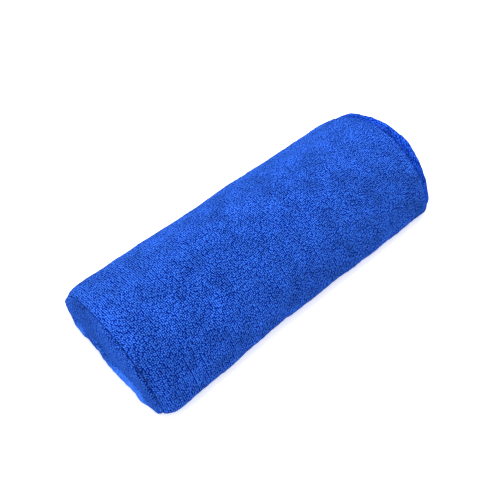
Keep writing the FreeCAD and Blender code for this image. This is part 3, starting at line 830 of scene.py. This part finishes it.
PINCH_DEPTH = 1.2
PUCKER_APART = 7.3
SWELL_GAIN, END_SWELL_GAIN = 0.8, 0.5
STITCH_FROM_EDGE = 2.0
RIM_FULL, RIM_FULLER, RIM_DROP = 3.6, 1.3, 3.2
FULLER_AT, DROP_AT = 0.36, 0.62  # shares of the way from the front seam to the zip
LEFT_RIM_FULL = 0.3
# Width of the band beside the right end's seam where the pile is pressed calmer and painted a little
# darker, as painted shade.
PRESSED_SHADE_WIDTH = 9.0


def pile(points):
    """Unevenness of the towelling: small tufts, soft lumps and the slow waves of a hand-sewn cover."""
    return 0.13 * ripple(points, 3.0, 3) + 0.26 * ripple(points, 12.0, 5) + 0.42 * ripple(points, 38.0, 8)


def normal_swell(shift, normals, middle):
    """The simulated movement with its average taken off, so the cushion keeps its measured size."""
    out = np.sum(shift * normals, axis=-1)
    usual = out[middle].mean() if middle.any() else 0.0
    return np.clip(out - usual, -1.2, 2.0)


def side_relief(plain, s, edges, at_rest, normals):
    """How far a side panel stands out of or sinks into its plain surface, without its turned-in edges."""
    x, to_seam, to_zip = plain[..., 0], edges["seam"], edges["zip"]
    to_end = np.minimum(edges["left"], edges["right"])
    middle = (to_end > 25) & (to_zip > 30) & (to_seam > 25)
    keep = smooth(to_zip, 2.0, 24.0) * smooth(plain[..., 2], 0.5, 12.0)
    swell = SWELL_GAIN * keep * normal_swell(side_swell(s, x), normals, middle)
    pairs = ((LEFT.deep, RIGHT.deep), (LEFT.wide, RIGHT.wide), (LEFT.gather, RIGHT.gather))
    deep, wide, gather = (np.where(x < 0, *pair) for pair in pairs)
    pinch = -PINCH_DEPTH * deep * np.exp(-to_end / wide) - 0.5 * np.exp(-to_seam / 4.0)
    wobble = 1.2 * ripple(at_rest, 20.0, 17)
    pucker = gather * waves(s, PUCKER_APART, wobble) * np.exp(-to_end / 4.5)
    pucker += 0.22 * waves(x, 8.6, wobble) * np.exp(-to_seam / 4.0)
    notch = -1.5 * bell(x, NOTCH_X, 4.5) * np.exp(-to_seam / 8.0)
    sewn = -0.45 * bell(to_zip, STITCH_FROM_EDGE, 0.8) * (np.abs(x) < ZIP_HALF)
    return swell + (pile(at_rest) + pinch + pucker) * smooth(to_zip, 0.0, 9.0) + notch + sewn


def side_cover(name, first, last, nodes, seed):
    """The crown or the base: a closed towelling sheet with turned-in edges, and loops along its seams."""
    plain, s, edges = side_panel(first, last)
    at_rest = sewn_shape(plain)
    away = stacked(0.0, plain[..., 1], plain[..., 2] - 0.3 * HEIGHT)
    normals = grid_normals(at_rest, away)
    relief = side_relief(plain, s, edges, at_rest, normals)
    turned = sum(rolled(distance) for distance in edges.values())
    outer = at_rest + normals * (relief - np.minimum(turned, EDGE_ROLL))[..., None]
    inner = at_rest + normals * (np.minimum(relief, 0.6) - COVER)[..., None]
    raise_to(outer, 0.0)
    raise_to(inner, COVER)
    points, faces = sheet_mesh(outer, inner)
    cloth = stacked(plain[..., 0], s, seed).reshape(-1, 3)
    parts = [(points, faces.tolist(), np.vstack([cloth, cloth]))]
    for edge, way, tall in ((1, -1.0, 0.9), (-2, 1.0, 0.3)):
        path, ups = outer[:, edge], normals[:, edge]
        parts.append(edge_loops(path, ups, seed + edge + 9, tall, (way, 0, 0)))
    seam_row = 1 if first == 0 else -2
    parts.append(edge_loops(outer[seam_row], normals[seam_row], seed + 31))
    points, faces, cloth = joined(parts)
    raise_to(points, 0.0)
    piece = mesh_piece(name, points, faces, TOWELLING, {"cloth": cloth, "brushed_highlight": np.zeros(len(points))})
    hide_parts(*nodes)
    return {"outer": outer, "normals": normals}


def left_folds(y, z):
    """The slack left end: a long soft fold at its foot that climbs to a spur, and a shorter one behind it.

    Gives how far the cloth stands out, and where its pile lies flat along the folds, which the towelling
    paints lighter as a painted highlight.
    """
    rear = smooth(y, 22.0, 36.0)
    front = smooth(20.0 - y, 0.0, 4.0)
    rear_top = 2.0 + 11.0 * rear
    front_top = 11.5 + 9.5 * smooth(y, 1.0, 18.0) + 0.8 * np.sin(y / 7.0)
    front_foot = (front_top - 4.5) * smooth(y, -2.0, 12.0)
    relief, flat = 0.0, 0.0
    for share, foot, top in ((rear, 0.0 * y, rear_top), (front, front_foot, front_top)):
        place = np.clip((z - foot) / (top - foot), 0, 1)
        relief = relief + share * 2.6 * np.sin(np.pi * place) ** 0.8
        relief = relief - share * 1.3 * bell(z, top + 2.5, 2.4)
        lower = smooth(z - foot, -1.5, 1.0) if foot.any() else 1.0
        # The pile lying flat below each fold's top is painted lighter later: a painted highlight.
        flat = np.maximum(flat, share * lower * smooth(top - z, -1.0, 2.2))
    relief = np.maximum(relief, 1.8 * np.sin(np.pi * np.clip(z / 11.0, 0, 1)))
    inside = smooth(60.0 - np.abs(y), 0.0, 14.0)
    return inside * relief, inside * flat


def right_folds(y, z):
    """The fuller right end: two shallow slanting folds."""
    first = bell(z - 0.25 * y, 20.0, 4.0) * bell(y, -18.0, 22.0)
    second = bell(z + 0.3 * y, 34.0, 3.2) * bell(y, 14.0, 18.0)
    return 0.9 * first - 0.8 * second


def end_cover(name, end, node, seed):
    """An end panel, with its folds, puckers along the seam, and loops caught in the seam."""
    plain, s, edges = end_panel(end)
    to_seam, y, z, ring = (edges[key] for key in ("seam", "y", "z", "ring"))
    at_rest = sewn_shape(plain)
    away = stacked(end.way * 40.0, plain[..., 1], plain[..., 2] - DISC_CENTRE[1])
    wrapped, turned = (np.concatenate([a[-1:], a, a[:1]]) for a in (at_rest, away))
    normals = grid_normals(wrapped, turned)[1:-1]
    on_face = smooth(to_seam, 5.0, 13.0)
    out = np.sum(disc_swell(s, ring, end) * normals, axis=-1)
    swell = END_SWELL_GAIN * on_face * (out - out[ring < 0.8].mean())
    if end is RIGHT:
        folds, brushed_highlight = right_folds(y, z), 0 * s
        # The pile beside the seam is pressed calmer and painted a little darker there: painted shade along
        # the seam.
        pressed_and_shaded = 1 - smooth(to_seam, 0.5 * PRESSED_SHADE_WIDTH, PRESSED_SHADE_WIDTH)
        place = s / TO_ZIP
        full = RIM_FULL + RIM_FULLER * bell(place, FULLER_AT, 0.1)
        drop = RIM_DROP * bell(to_seam, 0.0, 6.0) * smooth(to_seam, 0.0, 3.0) * bell(place, DROP_AT, 0.13)
    else:
        folds, brushed_highlight = left_folds(y, z)
        # Where the nap lies flat along the folds it is painted lighter, unevenly: a painted highlight.
        brushed_highlight = np.clip(brushed_highlight * (0.8 + 0.35 * ripple(at_rest, 7.0, 29)), 0, 1)
        slant = stacked(0.0, y + 0.6 * z, 0.3 * (z - 0.6 * y))
        folds = folds + 0.8 * ripple(slant, 9.0, 37) * on_face
        pressed_and_shaded, full, drop = 0 * s, LEFT_RIM_FULL, 0.0
    wobble = 1.3 * ripple(at_rest, 18.0, 23)
    pucker = end.pucker * waves(s, PUCKER_APART, wobble) * np.exp(-to_seam / 5.0)
    pinch = -end.deep * PINCH_DEPTH * np.exp(-to_seam / 2.5)
    puff = full * bell(to_seam, 6.0, 3.2) - drop
    relief = swell + folds * smooth(to_seam, 2.0, 7.0) + pile(at_rest) + pucker + pinch + puff
    outer = at_rest + normals * (relief - rolled(to_seam))[..., None]
    inner = at_rest + normals * (relief - COVER)[..., None]
    raise_to(outer, 0.0)
    raise_to(inner, 0.6)
    points, faces = sheet_mesh(outer, inner, wrap=True, last_rim=False)
    faces = faces.tolist()
    number = np.arange(s.size).reshape(s.shape)
    tip = len(points)
    points = np.vstack([points, outer[:, -1].mean(axis=0), inner[:, -1].mean(axis=0)])
    for layer in (0, 1):
        faces += fan(number[:, -1] + layer * s.size, tip + layer)
    cloth = stacked(z, y, seed).reshape(-1, 3)
    parts = [(points, faces, np.vstack([cloth, cloth, cloth[-1:], cloth[-1:]]))]
    if end is LEFT:
        path, ups = closed(outer[:, 1]), closed(normals[:, 1])
        parts.append(edge_loops(path, ups, seed + 3, 1.0, (-end.way, 0, 0)))
    total, faces, cloth = joined(parts)
    raise_to(total, 0.0)
    values = {"cloth": cloth}
    for key, value in (("brushed_highlight", brushed_highlight), ("pressed_and_shaded", pressed_and_shaded)):
        both = np.tile(value.ravel(), 2)
        values[key] = np.append(both, np.zeros(len(total) - both.size))
    piece = mesh_piece(name, total, faces, TOWELLING, values)
    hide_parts(node)
    return {"outer": outer, "normals": normals}


crown = side_cover("crown_cover", 0.0, TO_ZIP, ["crown_panel"], 1)
base = side_cover("base_cover", TO_ZIP, ROUND, ["base_panel"], 4)
left_end = end_cover("left_end_cover", LEFT, "left_end_panel", 7)
right_end = end_cover("right_end_cover", RIGHT, "right_end_panel", 12)


# ---------------- sewing thread

THREAD_LIFT = 0.3
REAR_SEAM_FROM = ZIP_HALF + 4
TAIL = np.array([
    (0.0, 0.0, 0.0), (-0.5, -0.8, -0.1), (-0.7, -1.6, -0.5), (-0.3, -2.4, -1.0), (0.3, -2.9, -1.4),
])


def thread_piece(name, parts, nodes):
    """Rows of stitches as one piece."""
    points, faces, cloth = joined(parts)
    raise_to(points, 0.0)
    piece = mesh_piece(name, points, faces, THREAD, {"cloth": cloth})
    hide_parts(*nodes)


def row_of(panel, row, low=-math.inf, high=math.inf):
    """The path and normals along one row of a side panel's grid, between two places along the cushion."""
    points, normals = panel["outer"][row], panel["normals"][row]
    kept = (points[:, 0] > low) & (points[:, 0] < high)
    return points[kept], normals[kept]


def make_threads():
    """The closed end seams, the long front seam, the short rear seams and the rows beside the zip."""
    for side, panel, lift in (("left", left_end, 0.35), ("right", right_end, 0.0)):
        loop, ups = closed(panel["outer"][:, 0]), closed(panel["normals"][:, 0])
        thread_piece(f"{side}_end_stitches", [stitches(loop, ups, lift)], [f"{side}_end_seam_thread"])
    path, ups = row_of(crown, 0)
    tail = path[1] + TAIL
    raise_to(tail, 0.3)
    rows = [stitches(path, ups, THREAD_LIFT), tube(tail, 0.26)]
    thread_piece("front_seam_stitches", rows, ["front_seam_thread"])
    for side, ends in (("left", (-math.inf, -REAR_SEAM_FROM)), ("right", (REAR_SEAM_FROM, math.inf))):
        rows = [stitches(*row_of(crown, -1, *ends), THREAD_LIFT)]
        thread_piece(f"rear_{side}_stitches", rows, [f"rear_seam_thread_{side}"])
    for side, panel, row in (("upper", crown, -6), ("lower", base, 5)):
        rows = [stitches(*row_of(panel, row, -row_high[0], row_high[0]), THREAD_LIFT)]
        thread_piece(f"zip_{side}_stitches", rows, [f"zip_stitching_{side}"])


make_threads()


# ---------------- the zip

TAPE_THICK = 0.5
TAPE_BEND = 3.9
TAPE_LEAN = math.radians(25)
TAPE_STEP_ACROSS, TAPE_STEP_ALONG = 0.4, 0.5
RIB_HEIGHT, RIB_APART = 0.05, 1.1
GROOVE_DEPTH, GROOVE_AT, GROOVE_WIDE = 0.12, 2.4, 0.3
MEET_SHARE, MEET_RUN = 0.96, 1.2
COIL_PITCH = 1.5
COIL_STRAND = 0.34
COIL_REACH = 0.25
HEAD_SPREAD = 0.12


def tape(name, node, corners):
    """A woven tape: a thin ribbed strip that follows the corners of its section.

    Its first edge comes in to the zip's centre line past the ends of the teeth.
    """
    low, high = box_mm(node)
    corners = np.asarray(corners, float)
    length = path_length(corners)
    across = np.linspace(0, length[-1], int(length[-1] / TAPE_STEP_ACROSS))
    y, z = (np.interp(across, length, values) for values in corners.T)
    out = unit(np.column_stack([np.gradient(z, across), -np.gradient(y, across)]))
    if out[0, 0] < 0:
        out = -out
    x = np.linspace(low[0], high[0], int((high[0] - low[0]) / TAPE_STEP_ALONG))
    across, y, z, out = across[:, None], y[:, None], z[:, None], out[:, None]
    ribs = RIB_HEIGHT * waves(across, RIB_APART) - GROOVE_DEPTH * bell(across, GROOVE_AT, GROOVE_WIDE)
    past_teeth = np.maximum(x - coil_high[0], coil_low[0] - x)
    meet = MEET_SHARE * (ZIP_Z - corners[0, 1]) * smooth(past_teeth, 0.0, 1.0)
    face = stacked(x, y, z + meet * np.exp(-across / MEET_RUN))
    away = stacked(0 * x, out[..., 0], out[..., 1])
    outer = face + away * (ribs - 0.06)[..., None]
    inner = face - away * TAPE_THICK
    points, faces = sheet_mesh(outer, inner)
    cloth = stacked(x, across, 0.0).reshape(-1, 3)
    piece = mesh_piece(name, points, faces, TAPE, {"cloth": np.vstack([cloth, cloth])})
    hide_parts(node)


def coil_row(name, node, phase, inner_side):
    """One row of zip teeth: a nylon strand wound round a cord, its heads reaching for the other row."""
    low, high = box_mm(node)
    turns = (high[0] - low[0]) / COIL_PITCH
    angle = np.linspace(0, turns * 2 * math.pi, int(turns * 14))
    mid_y = (low[1] + high[1]) / 2
    z_low = low[2] - (COIL_REACH if inner_side < 0 else 0.0) + COIL_STRAND
    z_high = high[2] + (COIL_REACH if inner_side > 0 else 0.0) - COIL_STRAND
    mid_z, wide = (z_low + z_high) / 2, (z_high - z_low) / 2
    tall = (high[1] - low[1]) / 2 - COIL_STRAND
    x = low[0] + COIL_STRAND + (high[0] - low[0] - 2 * COIL_STRAND) * angle / angle[-1]
    cos, sin = np.cos(angle + phase), np.sin(angle + phase)
    heads = HEAD_SPREAD * np.clip(inner_side * sin, 0, 1) ** 3
    path = np.column_stack([x + heads * cos, mid_y + tall * cos * (1 + heads), mid_z + wide * sin])
    cord = stacked(np.linspace(low[0] + 0.2, high[0] - 0.2, 300), mid_y, mid_z - 0.25 * inner_side)
    points, faces, cloth = joined([tube(path, COIL_STRAND), tube(cord, 0.3)])
    piece = mesh_piece(name, points, faces, COIL, {"cloth": cloth})
    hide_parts(node)


def make_zip():
    """Tapes and teeth; the slider, its tab and the stops are the CAD's own, enamelled."""
    face = tape_high[1]
    top, top_y = tape_high[2], tape_low[1] + TAPE_THICK * math.cos(TAPE_LEAN)
    bend = ZIP_Z + TAPE_BEND
    tape("zip_upper_tape", "zip_tape_upper", [(face, tape_low[2]), (face, bend), (top_y, top)])
    low, high = box_mm("zip_tape_lower")
    drop = ZIP_Z - TAPE_BEND - low[2]
    corners = [(face, high[2]), (face, ZIP_Z - TAPE_BEND), (face - drop, low[2]), (low[1], low[2])]
    tape("zip_lower_tape", "zip_tape_lower", corners)
    coil_row("zip_upper_teeth", "zip_coil_upper", 0.0, -1)
    coil_row("zip_lower_teeth", "zip_coil_lower", math.pi, 1)
    stops = ["zip_top_stop_upper", "zip_top_stop_lower", "zip_bottom_stop"]
    for node in ["zip_slider", "zip_pull_tab"] + stops:
        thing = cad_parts[node]
        thing.data.materials.clear()
        thing.data.materials.append(METAL)
        soften = thing.modifiers.new("soft_edges", "BEVEL")
        soften.width = 0.12 * MM
        soften.segments = 2
        soften.limit_method = "ANGLE"


make_zip()


# ---------------- liner and foam

CORE_STEP = 4.0
CORE_SHARES = (0.97, 0.86, 0.7, 0.5, 0.28, 0.03)
LINER_THICK = 0.4
TUCK = 5.0
TUCK_RUN = 9.0


def core_grid(inset, half, bulge):
    """A closed D-shaped body inside the cover, its edges pressed in under the end seams.

    Its rings run from end to end. The first and the last len(CORE_SHARES) of them make its ends.
    """
    s = np.linspace(0, ROUND, int(ROUND / CORE_STEP), endpoint=False)
    along = [(way, 1.0) for way in np.linspace(-half, half, int(2 * half / CORE_STEP))]
    slack = bulge - BULGE + SLACK_BULGE
    first = [(-half - slack * dome(share), share) for share in reversed(CORE_SHARES)]
    last = [(half + bulge * dome(share), share) for share in CORE_SHARES]
    rings = []
    for x, share in first + along + last:
        y, z = section(s, inset + TUCK * bell(min(abs(x), half), half, TUCK_RUN))
        rings.append(stacked(x, *towards_middle(y, z, share)))
    return sewn_shape(np.stack(rings, axis=1))


def make_core():
    """The foam block and the thin liner over it, in the sewn shape of the cover."""
    foam = core_grid(FOAM_INSET + LINER_THICK, HALF - FOAM_INSET, foam_high[0] - HALF + FOAM_INSET)
    rows, columns = foam.shape[:2]
    number = np.arange(rows * columns).reshape(rows, columns)
    points = foam.reshape(-1, 3)
    points = points + 0.12 * ripple(points, 5.0, 41)[:, None]
    faces = grid_faces(rows, columns, 0, True).tolist()
    faces += [number[:, 0].tolist(), number[::-1, -1].tolist()]
    piece = mesh_piece("foam_block", points, faces, FOAM)
    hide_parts("foam_core")
    bulge = liner_end_high[0] - HALF + LINER_INSET
    back = LINER_INSET + LINER_THICK
    outer = core_grid(LINER_INSET, HALF - LINER_INSET, bulge)
    inner = core_grid(back, HALF - back, bulge)
    ends, columns = len(CORE_SHARES), outer.shape[1]
    spans = {
        "liner_tube": (slice(ends, columns - ends), "liner_sleeve"),
        "liner_left": (slice(0, ends + 1), "liner_end_left"),
        "liner_right": (slice(columns - ends - 1, columns), "liner_end_right"),
    }
    for name, (span, node) in spans.items():
        points, faces = sheet_mesh(outer[:, span], inner[:, span], wrap=True)
        piece = mesh_piece(name, points, faces, LINER)
        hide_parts(node)


make_core()


# ---------------- floor, lights and camera

CAMERA_TURN = math.radians(-42.12)
CAMERA_RISE = math.radians(53.01)
CAMERA_AWAY = 0.545
CAMERA_AIM = Vector((-0.01414, -0.0071, 0.029))
CAMERA_LENS = 48.8
FLOOR_GLOW = 0.45
WORLD_GLOW = 0.85
LIGHTS = {  # place, aim, size and power
    "key": ((0.3, 0.4, 0.9), (0.0, 0.0, 0.02), 0.7, 13.0),
    "fill": ((-0.9, 0.1, 0.5), (-0.2, 0.0, 0.0), 0.8, 2.0),
}


def look_at(thing, place, aim):
    """Puts an object at a place, facing an aim point."""
    thing.location = place
    thing.rotation_euler = (aim - place).to_track_quat("-Z", "Y").to_euler()


def make_camera():
    """The camera that shows the cushion from above its front left corner."""
    data = bpy.data.cameras.new("camera")
    data.lens = CAMERA_LENS
    data.sensor_width = 36.0
    data.clip_start = 0.01
    camera = new_object("camera", data)
    back = Vector((
        math.sin(CAMERA_TURN) * math.cos(CAMERA_RISE),
        -math.cos(CAMERA_TURN) * math.cos(CAMERA_RISE),
        math.sin(CAMERA_RISE),
    ))
    look_at(camera, CAMERA_AIM + back * CAMERA_AWAY, CAMERA_AIM)
    bpy.context.scene.camera = camera


def soft_light(name, place, aim, size, power):
    """A square area light."""
    data = bpy.data.lights.new(name, "AREA")
    data.size = size
    data.energy = power
    look_at(new_object(name, data), Vector(place), Vector(aim))


def make_floor():
    """A plain pale sweep under the cushion."""
    material, tree = new_material("floor")
    place = object_place(tree)
    grain = noise(tree, place, 40.0, 3.0)
    colour = ramp(tree, grain, [(0.2, (0.90, 0.90, 0.905)), (0.8, (0.93, 0.93, 0.93))])
    finish_material(tree, colour, 0.9, grain, 0.01, 0.1, Emission_Strength=FLOOR_GLOW)
    mesh = bpy.data.meshes.new("floor")
    far, low = 12.0, -0.0003
    corners = [(-far, -far, low), (far, -far, low), (far, far, low), (-far, far, low)]
    mesh.from_pydata(corners, [], [(0, 1, 2, 3)])
    mesh.materials.append(material)
    floor = new_object("floor", mesh)


def make_world():
    """Even white light from all round."""
    world = bpy.data.worlds.new("studio")
    world.use_nodes = True
    background = world.node_tree.nodes["Background"]
    background.inputs["Color"].default_value = (1.0, 1.0, 1.0, 1.0)
    background.inputs["Strength"].default_value = WORLD_GLOW
    bpy.context.scene.world = world


make_camera()
make_floor()
make_world()
for light, values in LIGHTS.items():
    soft_light(light, *values)
bpy.context.scene.view_settings.view_transform = "Standard"
